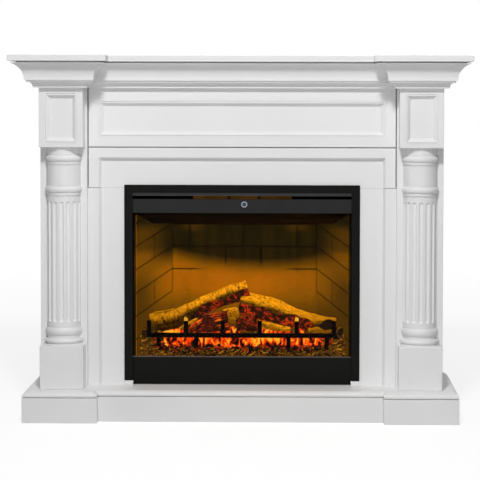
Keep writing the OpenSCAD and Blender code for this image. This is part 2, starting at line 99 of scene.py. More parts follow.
def tubeFaces(rows, around):
    # faces of a grid whose columns close on themselves, with a pole point before and after the rows
    index = np.arange(rows * around).reshape(rows, around)
    beside = np.roll(index, -1, axis=1)
    quads = np.stack([index[:-1], beside[:-1], beside[1:], index[1:]], axis=-1).reshape(-1, 4)
    first, last = rows * around, rows * around + 1
    start = np.stack([np.full(around, first), beside[0], index[0]], axis=-1)
    end = np.stack([np.full(around, last), index[-1], beside[-1]], axis=-1)
    return quads.tolist() + start.tolist() + end.tolist()


def slabFaces(rows, cols):
    # faces of a closed slab: a top grid, a bottom grid after it and a wall between their borders
    index = np.arange(rows * cols).reshape(rows, cols)
    top = np.stack([index[:-1, :-1], index[:-1, 1:], index[1:, 1:], index[1:, :-1]], axis=-1).reshape(-1, 4)
    border = np.concatenate([index[0, :-1], index[:-1, -1], index[-1, :0:-1], index[:0:-1, 0]])
    ahead = np.roll(border, -1)
    wall = np.stack([ahead, border, border + rows * cols, ahead + rows * cols], axis=-1)
    return top.tolist() + (top[:, ::-1] + rows * cols).tolist() + wall.tolist()


def srgb(red, green, blue):
    # the usual screen-to-linear curve of a colour given in 0..255
    c = np.array([red, green, blue]) / 255
    return tuple(np.where(c < 0.04045, c / 12.92, ((c + 0.055) / 1.055) ** 2.4).tolist()) + (1.0,)


class Finish:
    # a material whose nodes are added one call at a time; patterns lie on Object coordinates
    def __init__(self, name):
        self.material = bpy.data.materials.new(name)
        self.material.use_nodes = True
        self.tree = self.material.node_tree
        self.shader = self.tree.nodes["Principled BSDF"]
        self.place = self.add("ShaderNodeTexCoord").outputs["Object"]

    def feed(self, socket, value):
        # a node's output is linked to the socket, and anything else is set on it
        if isinstance(value, bpy.types.NodeSocket):
            self.tree.links.new(value, socket)
        else:
            socket.default_value = value

    def add(self, kind, sockets=None, **settings):
        made = self.tree.nodes.new(kind)
        for key, value in settings.items():
            setattr(made, key, value)
        for key, value in (sockets or {}).items():
            self.feed(made.inputs[key], value)
        return made

    def look(self, **values):
        for key, value in values.items():
            self.feed(self.shader.inputs[key.replace("_", " ")], value)

    def stretched(self, scale, place=None):
        return self.add("ShaderNodeMapping", {"Vector": place or self.place, "Scale": scale}).outputs[0]

    def noise(self, scale, detail=3.0, place=None, roughness=0.5, distortion=0.0):
        sockets = {"Vector": place or self.place, "Scale": scale, "Detail": detail, "Roughness": roughness,
                   "Distortion": distortion}
        return self.add("ShaderNodeTexNoise", sockets).outputs["Fac"]

    def mapped(self, value, low, high, toLow=0.0, toHigh=1.0):
        sockets = {"Value": value, "From Min": low, "From Max": high, "To Min": toLow, "To Max": toHigh}
        return self.add("ShaderNodeMapRange", sockets, interpolation_type="SMOOTHSTEP").outputs[0]

    def math(self, how, a, b=0.0, c=0.0):
        made = self.add("ShaderNodeMath", operation=how)
        for socket, value in zip(made.inputs, (a, b, c)):
            self.feed(socket, value)
        return made.outputs[0]

    def times(self, a, b):
        return self.math("MULTIPLY", a, b)

    def scaled(self, value, factor, offset):
        # value times factor plus offset, each a number or a node's output
        return self.math("MULTIPLY_ADD", value, factor, offset)

    def ramp(self, value, *stops):
        made = self.add("ShaderNodeValToRGB", {"Fac": value})
        band = made.color_ramp.elements
        while len(band) < len(stops):
            band.new(0.5)
        for element, (at, colour) in zip(band, stops):
            element.position, element.color = at, colour
        return made.outputs[0]

    def mix(self, share, a, b, how="MIX"):
        made = self.add("ShaderNodeMix", data_type="RGBA", blend_type=how)
        for at, value in zip((0, 6, 7), (share, a, b)):  # the factor and the two colour sockets
            self.feed(made.inputs[at], value)
        return made.outputs[2]

    def axes(self):
        return self.add("ShaderNodeSeparateXYZ", {"Vector": self.place}).outputs

    def bump(self, height, distance, strength=1.0, under=None):
        sockets = {"Height": height, "Distance": distance, "Strength": strength}
        if under:
            sockets["Normal"] = under
        return self.add("ShaderNodeBump", sockets).outputs[0]

    def attribute(self, name, output="Fac"):
        return self.add("ShaderNodeAttribute", attribute_name=name).outputs[output]


view = {"place": (0.1556, -4.1027, 0.88), "lens": 110.09, "pitchDown": 2.081, "yaw": 0.583, "roll": 0.139,
        "shift": (-0.09, -0.18)}
camera = bpy.data.objects.new("camera", bpy.data.cameras.new("camera"))
camera.location = view["place"]
camera.rotation_euler = (radians(90 - view["pitchDown"]), 0, radians(view["yaw"]))
camera.rotation_euler.rotate_axis("Z", radians(view["roll"]))
camera.data.lens = view["lens"]
camera.data.shift_x, camera.data.shift_y = view["shift"]
camera.data.clip_end = 60
bpy.context.scene.collection.objects.link(camera)
bpy.context.scene.camera = camera
bpy.context.scene.view_settings.view_transform = "Standard"

studio = {"ambient": 0.15,
          "keyPower": 58.5, "keyPlace": (0.02, -1.82, 2.30), "keyRadius": 0.15,
          "fillPower": 14.0, "fillPlace": (0.0, -3.3, 0.78), "fillAim": (0.0, 0.0, 0.6),
          "fillSize": (2.4, 1.5),
          "floorNear": 0.86, "floorFar": 0.97, "floorGrey": 0.18, "floorBounce": 0.68, "floorHalf": 9}


def areaLamp(name, place, aim, size, power, colour=(1, 1, 1)):
    # a rectangular lamp that faces a point
    lamp = bpy.data.lights.new(name, "AREA")
    lamp.shape, lamp.energy, lamp.color = "RECTANGLE", power, colour
    lamp.size, lamp.size_y = size
    made = bpy.data.objects.new(name, lamp)
    made.location = place
    bpy.context.scene.collection.objects.link(made)
    made.rotation_euler = (Vector(aim) - Vector(place)).to_track_quat("-Z", "Y").to_euler()
    return made


fill = areaLamp("fillLamp", studio["fillPlace"], studio["fillAim"], studio["fillSize"], studio["fillPower"])
fill.visible_glossy = False
keyLight = bpy.data.lights.new("keyLamp", "POINT")
keyLight.energy, keyLight.shadow_soft_size = studio["keyPower"], studio["keyRadius"]
keyLight.use_nodes = True
keyTree = keyLight.node_tree
fading = keyTree.nodes.new("ShaderNodeLightFalloff")
fading.inputs["Strength"].default_value = 1.0
keyTree.links.new(fading.outputs["Linear"], keyTree.nodes["Emission"].inputs["Strength"])
keyLamp = bpy.data.objects.new("keyLamp", keyLight)
keyLamp.location = studio["keyPlace"]
bpy.context.scene.collection.objects.link(keyLamp)


def seenDirectly(tree):
    # 1 for rays from the camera, a mirror or through glass
    path = tree.nodes.new("ShaderNodeLightPath").outputs
    total = path["Is Camera Ray"]
    for key in ("Is Glossy Ray", "Is Transmission Ray"):
        most = tree.nodes.new("ShaderNodeMath")
        most.operation = "MAXIMUM"
        tree.links.new(total, most.inputs[0])
        tree.links.new(path[key], most.inputs[1])
        total = most.outputs[0]
    return total


world = bpy.data.worlds.new("studio")
bpy.context.scene.world = world
world.use_nodes = True
sky = world.node_tree
background = sky.nodes["Background"]
background.inputs["Color"].default_value = (1, 1, 1, 1)
strength = sky.nodes.new("ShaderNodeMapRange")
sky.links.new(seenDirectly(sky), strength.inputs["Value"])
strength.inputs["To Min"].default_value = studio["ambient"]
sky.links.new(strength.outputs[0], background.inputs["Strength"])


def floorMaterial():
    # diffuse for all light; seen directly it adds its own white and keeps a faint shadow
    made = bpy.data.materials.new("studioFloor")
    made.use_nodes = True
    tree = made.node_tree
    tree.nodes.clear()
    bounce, seen = (tree.nodes.new("ShaderNodeBsdfDiffuse") for _ in range(2))
    glow = tree.nodes.new("ShaderNodeEmission")
    both, mixed = tree.nodes.new("ShaderNodeAddShader"), tree.nodes.new("ShaderNodeMixShader")
    out = tree.nodes.new("ShaderNodeOutputMaterial")
    bounce.inputs["Color"].default_value = (studio["floorBounce"],) * 3 + (1,)
    seen.inputs["Color"].default_value = (studio["floorGrey"],) * 3 + (1,)
    spot, away = tree.nodes.new("ShaderNodeTexCoord"), tree.nodes.new("ShaderNodeVectorMath")
    away.operation = "LENGTH"
    fading = tree.nodes.new("ShaderNodeMapRange")
    limits = {"From Min": 1.0, "From Max": 4.0, "To Min": studio["floorNear"], "To Max": studio["floorFar"]}
    for key, value in limits.items():
        fading.inputs[key].default_value = value
    tree.links.new(spot.outputs["Object"], away.inputs[0])
    tree.links.new(away.outputs["Value"], fading.inputs["Value"])
    tree.links.new(fading.outputs[0], glow.inputs["Strength"])
    tree.links.new(seen.outputs[0], both.inputs[0])
    tree.links.new(glow.outputs[0], both.inputs[1])
    tree.links.new(seenDirectly(tree), mixed.inputs[0])
    tree.links.new(bounce.outputs[0], mixed.inputs[1])
    tree.links.new(both.outputs[0], mixed.inputs[2])
    tree.links.new(mixed.outputs[0], out.inputs[0])
    return made


half = studio["floorHalf"]
corners = [(-half, -half, 0), (half, -half, 0), (half, half, 0), (-half, half, 0)]
floorMesh = bpy.data.meshes.new("floor")
floorMesh.from_pydata(corners, [], [(0, 1, 2, 3)])
floorMesh.materials.append(floorMaterial())
floor = bpy.data.objects.new("floor", floorMesh)
bpy.context.scene.collection.objects.link(floor)
print("camera, lights and floor set")


paint = {"colour": srgb(236, 236, 236), "shade": srgb(231, 231, 232), "roughness": 0.38}
whitePaint = Finish("whitePaint")
patch = whitePaint.noise(2.3, 2)
orangePeel = whitePaint.bump(whitePaint.noise(420, 2), 0.00004)
whitePaint.look(Base_Color=whitePaint.ramp(patch, (0.35, paint["shade"]), (0.65, paint["colour"])),
                Roughness=whitePaint.mapped(whitePaint.noise(60, 4), 0.3, 0.7, paint["roughness"] - 0.05,
                                            paint["roughness"] + 0.06),
                Normal=whitePaint.bump(whitePaint.noise(9, 2), 0.0004, 0.5, orangePeel),
                Specular_IOR_Level=0.4)

wood = {"light": srgb(205, 170, 124), "dark": srgb(176, 136, 90)}
bareWood = Finish("bareWood")
waves = {"Vector": bareWood.stretched((2.2, 30, 46)), "Scale": 1.0, "Distortion": 6.0, "Detail": 3.0,
         "Detail Scale": 1.4}
rings = bareWood.add("ShaderNodeTexWave", waves).outputs["Fac"]
fibres = bareWood.noise(1.0, 5, bareWood.stretched((12, 900, 900)))
grain = bareWood.scaled(fibres, 0.35, bareWood.times(rings, 0.65))
bareWood.look(Base_Color=bareWood.ramp(grain, (0.15, wood["dark"]), (0.75, wood["light"])),
              Roughness=bareWood.mapped(fibres, 0.2, 0.8, 0.55, 0.75),
              Normal=bareWood.bump(grain, 0.0003))


def coatedSteel(name, colour, roughness, specular, speckle=700, brushed=None):
    # powder coat: a fine speckled bump and slow changes of gloss; brushed stretches them along one axis
    made = Finish(name)
    place = made.stretched(brushed) if brushed else made.place
    fine = made.noise(1.0 if brushed else speckle, 2, place)
    slow = made.noise(14, 3)
    dark = tuple(c * 0.8 for c in colour[:3]) + (1,)
    made.look(Base_Color=made.ramp(slow, (0.3, dark), (0.7, colour)),
              Roughness=made.mapped(made.math("ADD", fine, slow), 0.6, 1.4, roughness - 0.06,
                                    roughness + 0.08),
              Normal=made.bump(fine, 0.00005, 0.6), Specular_IOR_Level=specular)
    return made


blackTrim = coatedSteel("blackTrim", srgb(17, 17, 16), 0.42, 0.08)
lowerSkirt = coatedSteel("lowerSkirt", srgb(18, 18, 16), 0.42, 0.08)
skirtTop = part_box("lower_skirt")[1].z
# painted highlight: a lighter grey line along the top edge of the skirt, where its top flange catches the
# light
topEdgeHighlight = lowerSkirt.mapped(lowerSkirt.axes()["Z"], skirtTop - 0.0022, skirtTop - 0.0008)
skirtColour = lowerSkirt.shader.inputs["Base Color"].links[0].from_socket
lowerSkirt.look(Base_Color=lowerSkirt.mix(topEdgeHighlight, skirtColour, srgb(92, 88, 86)))
lipBar = coatedSteel("lipBar", srgb(82, 82, 82), 0.36, 0.10, brushed=(14, 900, 900))
greyBar = coatedSteel("greyBar", srgb(42, 42, 42), 0.36, 0.10, brushed=(14, 900, 900))
caseSteel = coatedSteel("caseSteel", srgb(36, 36, 38), 0.55, 0.25)

buttonMetal = Finish("buttonMetal")
x, _, z = buttonMetal.axes()
low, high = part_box("round_button")
centreX, centreZ = (low.x + high.x) / 2, (low.z + high.z) / 2
fromCentre = {"X": buttonMetal.math("SUBTRACT", x, centreX), "Z": buttonMetal.math("SUBTRACT", z, centreZ)}
away = buttonMetal.add("ShaderNodeCombineXYZ", fromCentre).outputs[0]
radius = buttonMetal.add("ShaderNodeVectorMath", {"Vector": away}, operation="LENGTH").outputs["Value"]
turning = buttonMetal.math("SINE", buttonMetal.times(radius, 9000.0))  # fine rings 0.7 mm apart
metal = buttonMetal.ramp(turning, (0.0, srgb(160, 168, 184)), (1.0, srgb(186, 194, 210)))
dish = buttonMetal.mapped(radius, 0.0056, 0.0064)  # dark inside this radius, a bright rim outside it
buttonMetal.look(Base_Color=buttonMetal.mix(dish, srgb(52, 58, 68), metal),
                 Roughness=buttonMetal.mapped(turning, -1, 1, 0.34, 0.46),
                 Normal=buttonMetal.bump(turning, 0.00003), Metallic=0.55)

glass = {"tint": (0.004, 0.003, 0.002, 1), "alpha": 0.06}
clearGlass = Finish("clearGlass")
smear = clearGlass.noise(5, 4, distortion=0.6)
clearGlass.look(Base_Color=glass["tint"], Alpha=glass["alpha"], Specular_IOR_Level=0.2,
                Roughness=clearGlass.mapped(smear, 0.3, 0.7, 0.03, 0.08))

rubber = coatedSteel("softRubber", srgb(26, 26, 27), 0.62, 0.3, speckle=1400)
grateIron = coatedSteel("grateIron", srgb(11, 6, 4), 0.75, 0.03, speckle=260)

chamber = {"glow": 1.06, "frontHalf": 0.297, "backHalf": 0.211, "archTop": 0.398, "jointDepth": (0.88, 0.82),
           "rear": (0.74, 0.58), "share": (1.0, 0.85), "edge": (0.95, 0.05)}
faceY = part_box("brick_back")[0].y
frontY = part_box("brick_left")[0].y
amberStops = ((0.0, (0.0, 0.0, 0.0, 1)), (0.03, (0.010, 0.0064, 0.0012, 1)),
              (0.08, (0.034, 0.0165, 0.0012, 1)), (0.5, (0.223, 0.077, 0.0008, 1)),
              (1.0, (0.455, 0.122, 0.0006, 1)))


def litBelow(made, height, edge):
    # full light under an edge, which fades out above it and slowly towards the embers
    over = made.mapped(made.math("SUBTRACT", height, edge), -0.050, 0.018, 1, 0)
    return made.times(over, made.mapped(height, 0.255, 0.350, 0.35, 1))


def backLevel(made, x, z):
    # the light on the back wall ends in an arch and fades to both sides; two dim spots lie above it
    width = made.math("ABSOLUTE", x)
    arch = made.scaled(made.times(x, x), 0.6, made.scaled(x, -0.05, chamber["archTop"]))
    lit = litBelow(made, z, made.scaled(made.noise(14, 3), 0.016, arch))
    spread = made.scaled(x, -0.40, made.mapped(width, 0.03, 0.20, 1.02, 0.70))
    # uneven painted glow: soft brighter and dimmer patches across the lit wall
    unevenGlow = made.noise(1.0, 3, made.stretched((20, 1, 7)), distortion=0.8)
    unevenGlow = made.mapped(unevenGlow, 0.3, 0.7, 0.86, 1.10)
    lamps = made.math("ABSOLUTE", made.math("SUBTRACT", width, 0.152))
    lamps = made.times(made.mapped(lamps, 0, 0.05, 0.08, 0), made.mapped(z, 0.492, 0.514))
    streaks = made.mapped(made.noise(1.0, 2, made.stretched((60, 1, 3))), 0.35, 0.65, 0.030, 0.052)
    level = made.scaled(made.times(lit, unevenGlow), spread, made.math("ADD", lamps, streaks))
    # the joints show above the glow, and low down only at both sides
    beside = made.times(made.mapped(width, 0.105, 0.15), made.mapped(z, 0.381, 0.386))
    joint = made.times(made.math("MAXIMUM", made.mapped(z, 0.392, 0.412), beside), chamber["jointDepth"][0])
    # painted shade: the back wall grows darker at its sides where it meets the side walls, higher than the
    # embers
    corner = made.times(made.mapped(width, 0.2070, 0.2092, 0, 0.6), made.mapped(z, 0.30, 0.34))
    return made.times(level, made.math("SUBTRACT", 1.0, corner)), joint


def sideLevel(made, side, y, z):
    # a side wall takes after the back wall at its rear, and is evenly dim towards the glass
    right = int(side > 0)
    rear = made.scaled(litBelow(made, z, 0.428), chamber["rear"][right], 0.045)
    hump = made.times(made.mapped(z, 0.33, 0.425), made.mapped(z, 0.435, 0.465, 0.28, 0.0))
    front = made.times(made.math("ADD", hump, 0.20), made.mapped(z, 0.505, 0.535, 1, 0.25))
    back = made.mapped(y, 0.01, 0.150)
    level = made.scaled(rear, back, made.times(front, made.math("SUBTRACT", 1.0, back)))
    # painted highlight: a thin bright line of light along the front edge of each side wall, strong on the
    # left, faint on the right
    edge = made.mapped(y, frontY, frontY + 0.0008, chamber["edge"][right], 0)
    return made.scaled(level, chamber["share"][right], edge), chamber["jointDepth"][1]


def brickFinish(name, side):
    # amber light on rough brick; the mortar joints, set back from the face, stay darker
    made = Finish(name)
    x, y, z = made.axes()
    if side:
        run = (faceY - frontY, chamber["frontHalf"] - chamber["backHalf"])
        size = (run[0] ** 2 + run[1] ** 2) ** 0.5
        offset = -(chamber["frontHalf"] * run[0] + frontY * run[1]) / size
        reach = made.scaled(x, side * run[0] / size, made.scaled(y, run[1] / size, offset))
        level, depth = sideLevel(made, side, y, z)
    else:
        reach = made.math("SUBTRACT", y, faceY)
        level, depth = backLevel(made, x, z)
    joint = made.mapped(reach, 0.0004, 0.0012)
    crumbs = made.noise(95, 5, roughness=0.7)
    level = made.times(level, made.mapped(crumbs, 0.2, 0.8, 0.82, 1.14))
    level = made.times(level, made.math("SUBTRACT", 1.0, made.times(joint, depth)))
    soot, dust = (0.0018, 0.0012, 0.0003, 1), (0.0045, 0.0028, 0.0006, 1)
    made.look(Emission_Color=made.ramp(level, *amberStops), Emission_Strength=chamber["glow"],
              Base_Color=made.ramp(crumbs, (0.3, soot), (0.7, dust)), Specular_IOR_Level=0.02,
              Roughness=made.mapped(crumbs, 0.2, 0.8, 0.8, 0.95), Normal=made.bump(crumbs, 0.0006))
    return made


backBrick = brickFinish("brickBack", 0)
leftBrick = brickFinish("brickLeft", -1)
rightBrick = brickFinish("brickRight", 1)

canopySteel = coatedSteel("canopySteel", srgb(4, 3, 2), 0.5, 0.02)
gleam = canopySteel.noise(1.0, 3, canopySteel.stretched((5, 60, 160)))
gleam = canopySteel.ramp(gleam, (0.48, (0.0, 0.0, 0.0, 1)), (0.68, (0.022, 0.0065, 0.0008, 1)))
canopySteel.look(Emission_Color=gleam, Emission_Strength=0.8)

nodeFinish = {"round_button": buttonMetal, "glass_pane": clearGlass, "firebox_case": caseSteel,
              "heater_box": caseSteel, "cable_grommet": rubber, "fire_grate": grateIron,
              "brick_back": backBrick, "brick_left": leftBrick, "brick_right": rightBrick,
              "canopy_plate": canopySteel, "trim_frame": blackTrim, "lower_skirt": lowerSkirt,
              "lip_bar": lipBar, "header_bar": greyBar, "rear_rail_top": bareWood,
              "rear_rail_bottom": bareWood}
for name, part in nodes.items():
    finish = nodeFinish.get(name, whitePaint)
    for slot in part.material_slots:
        slot.material = finish.material
print("finishes of the parts set")


# path: x, y, z and radius at each point; char: from where to where the underside is burnt, 0 to 1 along it
logs = {
    "logLeft": {
        "replaces": "log_left", "char": (0.30, 1.2), "seed": 3.0, "bark": "ribbed", "bump": 0.0032,
        "path": ((-0.258, 0.046, 0.246, 0.028), (-0.190, 0.048, 0.258, 0.028),
                 (-0.120, 0.052, 0.292, 0.0247), (-0.057, 0.056, 0.320, 0.0245),
                 (-0.022, 0.059, 0.332, 0.027), (0.016, 0.062, 0.338, 0.027))},
    "logRight": {
        "replaces": "log_right", "char": (-0.2, 0.84), "seed": 9.0, "bark": "smooth", "bump": 0.0018,
        "path": ((-0.008, 0.060, 0.303, 0.033), (0.019, 0.058, 0.297, 0.035), (0.082, 0.054, 0.283, 0.034),
                 (0.138, 0.051, 0.264, 0.028), (0.208, 0.049, 0.246, 0.023), (0.262, 0.048, 0.246, 0.017))},
    "logFront": {
        "replaces": "log_front", "char": (-1.0, 2.0), "seed": 15.0, "bark": "split", "bump": 0.0022,
        "path": ((-0.152, 0.031, 0.232, 0.015), (-0.110, 0.033, 0.246, 0.024),
                 (-0.040, 0.036, 0.256, 0.028))},
    "logMiddle": {
        "replaces": "log_middle", "char": (-1.0, 2.0), "seed": 21.0, "bark": "cracked", "bump": 0.0030,
        "path": ((-0.018, 0.033, 0.243, 0.018), (0.012, 0.033, 0.249, 0.022), (0.041, 0.034, 0.246, 0.019))},
    "woodWedge": {
        "char": (3.0, 4.0), "seed": 27.0, "bark": "plain", "bump": 0.0008,
        "path": ((-0.056, 0.046, 0.280, 0.006), (-0.040, 0.044, 0.276, 0.016),
                 (-0.020, 0.044, 0.274, 0.020), (-0.012, 0.044, 0.272, 0.016))},
    "woodSplit": {
        "char": (3.0, 4.0), "seed": 33.0, "bark": "plain", "bump": 0.0014,
        "path": ((0.044, 0.044, 0.247, 0.010), (0.090, 0.041, 0.236, 0.010), (0.134, 0.038, 0.231, 0.006))},
    "charChunk": {
        "char": (-1.0, 2.0), "seed": 39.0, "bark": "black", "bump": 0.0026,
        "path": ((0.216, 0.032, 0.238, 0.008), (0.236, 0.031, 0.247, 0.016), (0.262, 0.031, 0.242, 0.014))},
    "paleChunk": {
        "char": (3.0, 4.0), "seed": 45.0, "bark": "plain", "bump": 0.0018,
        "path": ((0.186, 0.028, 0.228, 0.007), (0.215, 0.028, 0.232, 0.009), (0.256, 0.029, 0.228, 0.007))},
    "leftSliver": {
        "char": (3.0, 4.0), "seed": 48.0, "bark": "plain", "bump": 0.0012,
        "path": ((-0.176, 0.028, 0.234, 0.005), (-0.150, 0.026, 0.247, 0.007),
                 (-0.128, 0.026, 0.262, 0.004))},
    "cornerCharLeft": {
        "char": (-1.0, 2.0), "seed": 54.0, "bark": "black", "bump": 0.0026,
        "path": ((-0.286, 0.020, 0.214, 0.011), (-0.276, 0.026, 0.222, 0.013),
                 (-0.262, 0.030, 0.222, 0.009))},
    "cornerCharRight": {
        "char": (-1.0, 2.0), "seed": 57.0, "bark": "black", "bump": 0.0026,
        "path": ((0.264, 0.034, 0.222, 0.009), (0.275, 0.026, 0.226, 0.013), (0.284, 0.016, 0.222, 0.014))},
    "twig": {
        "char": (3.0, 4.0), "seed": 51.0, "bark": "plain", "bump": 0.0006,
        "path": ((-0.250, 0.036, 0.277, 0.0032), (-0.222, 0.037, 0.281, 0.0030),
                 (-0.194, 0.040, 0.287, 0.0024))},
}
ember = {"glow": 1.10, "black": (0, 0, 0, 1),
         "dark": (0.050, 0.0165, 0.001, 1), "middle": (0.54, 0.188, 0.002, 1),
         "bright": (1.0, 0.375, 0.004, 1), "char": (0.008, 0.0040, 0.0014, 1),
         "dull": (0.09, 0.007, 0.0010, 1), "red": (0.38, 0.024, 0.0018, 1),
         "hot": (0.68, 0.052, 0.003, 1), "hottest": (1.0, 0.18, 0.008, 1)}


def logPoints(shape, rows, around):
    # rings along the path stand out by its radius and layered noise, and close in on the cut ends
    path = np.array(shape["path"])
    steps = np.concatenate([[0], np.cumsum(np.linalg.norm(np.diff(path[:, :3], axis=0), axis=1))])
    close = np.concatenate([[0.35, 0.7, 0.93], np.ones(rows - 6), [0.93, 0.7, 0.35]])
    far = np.concatenate([np.zeros(3), np.linspace(0, steps[-1], rows - 6), np.full(3, steps[-1])])
    line = np.stack([sum(np.interp(far + shift, steps, path[:, k]) for shift in (-0.008, 0.0, 0.008)) / 3
                     for k in range(4)], axis=-1)
    line[far <= 0], line[far >= steps[-1]] = path[0], path[-1]
    centre, radius = line[:, :3], line[:, 3:]
    forward = path[-1, :3] - path[0, :3]
    forward /= np.linalg.norm(forward)
    side = np.cross(forward, (0, 0, 1.0))
    side /= np.linalg.norm(side)
    up = np.cross(side, forward)
    turn = np.linspace(0, 2 * np.pi, around, endpoint=False)[None, :]
    seed, far = shape["seed"], far[:, None]
    ringX, ringY = np.cos(turn) * radius, np.sin(turn) * radius
    broad = layeredNoise(far * 18 + seed, ringX * 26 + seed, ringY * 26 + seed, 2)
    fine = {"ribbed": (240, 60), "smooth": (60, 120)}.get(shape["bark"], (60, 200))
    bark = layeredNoise(far * fine[0] + seed, ringX * fine[1] + seed, ringY * fine[1] + seed, 4)
    furrow = np.abs(layeredNoise(far * 40 - seed, ringX * 240 - seed, ringY * 240 + seed, 3))
    height = 0.12 * radius * broad + shape["bump"] * (1.2 * bark - 1.5 * softStep(0.0, 0.18, 0.18 - furrow))
    stand = (radius + height) * close[:, None]
    outward = np.cos(turn)[..., None] * up + np.sin(turn)[..., None] * side
    points = centre[:, None, :] + stand[..., None] * outward
    along = far / steps[-1]
    under = softStep(-0.42, 0.16, -np.cos(turn) + 0.55 * broad + 0.3 * bark)
    low, high = shape["char"]
    burnt = under * softStep(low, low + 0.16, along) * (1 - softStep(high - 0.14, high, along))
    burnt = np.broadcast_to(1.0 if low < -0.5 else burnt, stand.shape)
    light = softStep(-0.40, 0.85, np.cos(turn) + 0.40 * bark + 0.25 * broad) + 0 * stand
    grain = np.stack([far + 0 * stand, turn * radius + seed + 0 * stand, 0 * stand], axis=-1).reshape(-1, 3)
    marks = {"burnt": np.append(burnt.ravel(), [burnt[0].mean(), burnt[-1].mean()]),
             "topLight": np.append(light.ravel(), [light[0].mean(), light[-1].mean()]),
             "grain": np.concatenate([grain, [grain[0], grain[-1]]])}
    return np.concatenate([points.reshape(-1, 3), path[[0, -1], :3]]), marks


# per kind of bark: how it is stretched along and across the grain, and where dark and middle tones begin
barks = {"ribbed": {"stretch": (210, 50, 1), "tones": (0.24, 0.47)},
         "smooth": {"stretch": (45, 190, 1), "tones": (0.16, 0.40)},
         "other": {"stretch": (45, 190, 1), "tones": (0.10, 0.50)}}


def barkFinish(name, bark):
    # golden wood with dark flecks where painted light falls from above, charcoal below it with glowing cracks
    made = Finish(name)
    kind = barks.get(bark, barks["other"])
    burnt, light = made.attribute("burnt"), made.attribute("topLight")
    grain = made.attribute("grain", "Vector")
    strokes = made.noise(1.0, 5, made.stretched(kind["stretch"], grain), 0.68)
    flecks = made.noise(190, 6, roughness=0.82)
    mottle = made.scaled(made.noise(45, 3), 0.6, made.scaled(strokes, 1.9, made.scaled(flecks, 3.0, -2.16)))
    dark, middle = kind["tones"]
    wood = made.ramp(mottle, (dark, ember["dark"]), (middle, ember["middle"]), (0.74, ember["bright"]))
    dim, full = (0.35, 0.95) if bark == "plain" else (0.010, 1.0)
    # painted light: the lit tops grow dimmer towards the outer ends of the pile
    outward = made.mapped(made.math("ABSOLUTE", made.axes()["X"]), 0.11, 0.23, 1.0, 0.58)
    lit = made.times(made.mapped(made.math("POWER", light, 2.0), 0.0, 1.0, dim, full), outward)
    paintedGlow = made.mix(lit, ember["black"], wood)
    patches = made.mapped(made.noise(42, 4, roughness=0.65), 0.38, 0.60)
    if bark == "split":
        streaks = made.noise(1.0, 3, made.stretched((16, 330, 1), grain), 0.55, 0.4)
        heat = made.times(made.mapped(streaks, 0.44, 0.60), made.mapped(patches, 0.0, 1.0, 0.25, 1.0))
    elif bark == "black":
        heat = made.times(patches, 0.02)
    else:
        # cracks run along the borders of swirled cells, with sparks between them
        swirl = made.add("ShaderNodeTexNoise", {"Vector": made.place, "Scale": 70.0}).outputs["Color"]
        swirl = {"Vector": made.mix(0.014, made.place, swirl, "ADD"), "Scale": 85}
        crack = made.add("ShaderNodeTexVoronoi", swirl, feature="DISTANCE_TO_EDGE").outputs["Distance"]
        heat = made.times(made.mapped(crack, 0.02, 0.16, 1, 0), made.mapped(patches, 0.0, 1.0, 0.0, 0.90))
        sparks = made.times(patches, made.mapped(flecks, 0.46, 0.62, 0, 0.65))
        heat = made.math("MAXIMUM", heat, sparks)
    fire = made.ramp(heat, (0.0, ember["char"]), (0.35, ember["dull"]), (0.70, ember["red"]),
                     (0.90, ember["hot"]), (1.0, ember["hottest"]))
    edge = made.mapped(made.math("ADD", burnt, made.scaled(flecks, 0.8, -0.40)), 0.3, 0.62)
    made.look(Emission_Color=made.mix(edge, paintedGlow, fire), Emission_Strength=ember["glow"],
              Base_Color=made.mix(edge, made.mix(0.16, ember["black"], wood), (0.006, 0.004, 0.003, 1)),
              Roughness=made.mapped(flecks, 0.2, 0.8, 0.7, 0.95), Normal=made.bump(mottle, 0.0020),
              Specular_IOR_Level=0.04)
    return made.material


for name, shape in logs.items():
    path = np.array(shape["path"])
    size = np.linalg.norm(path[-1, :3] - path[0, :3])
    rows = int(min(240, size / 0.0011)) + 8
    around = 130 if path[:, 3].max() > 0.012 else 48  # slim pieces need fewer points around
    points, marks = logPoints(shape, rows, around)
    bark = barkFinish(name + "Bark", shape["bark"])
    piece = newPiece(name, points, tubeFaces(rows, around), bark, marks=marks)
    if "replaces" in shape:
        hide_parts(shape["replaces"])
print("logs made")


# pockets: from where to where along x the glow shows above the bar of the grate
bed = {"base": 0.110, "frontHalf": 0.293, "backHalf": 0.207, "front": -0.0080, "back": 0.1520,
       "rows": 130, "cols": 370,
       "pockets": ((-0.226, -0.167), (-0.084, -0.064), (-0.052, -0.008), (0.054, 0.133), (0.149, 0.172))}


def bedHeight(x, y):
    # low rubble in front, a steep glowing bank behind it, then heaps between the logs and at both sides
    wavy = layeredNoise(x * 34, y * 10, y * 0 + 6.0, 3)
    bank = softStep(0.012, 0.030, y + 0.004 * wavy)
    floor = 0.159 + 0.019 * softStep(-0.006, 0.010, y)
    slope = floor + (0.214 - floor) * bank + 0.016 * softStep(0.032, 0.045, y)
    wide = softStep(0.215, 0.275, np.abs(x) + 0.010 * wavy)
    heap = softStep(-0.007, 0.012, y) * (1 - softStep(0.012, 0.05, y))
    slope += wide * (0.034 * heap - 0.020 * softStep(0.02, 0.06, y))
    coal = layeredNoise(x * 75, y * 75, y * 0 + 4.0, 3)
    lump = np.abs(layeredNoise(x * 110, y * 110, y * 0 + 9.0, 2))
    rough = 1 - 0.75 * bank * (1 - softStep(0.030, 0.040, y))
    return slope + rough * (0.0045 * coal + 0.008 * (lump - 0.25))


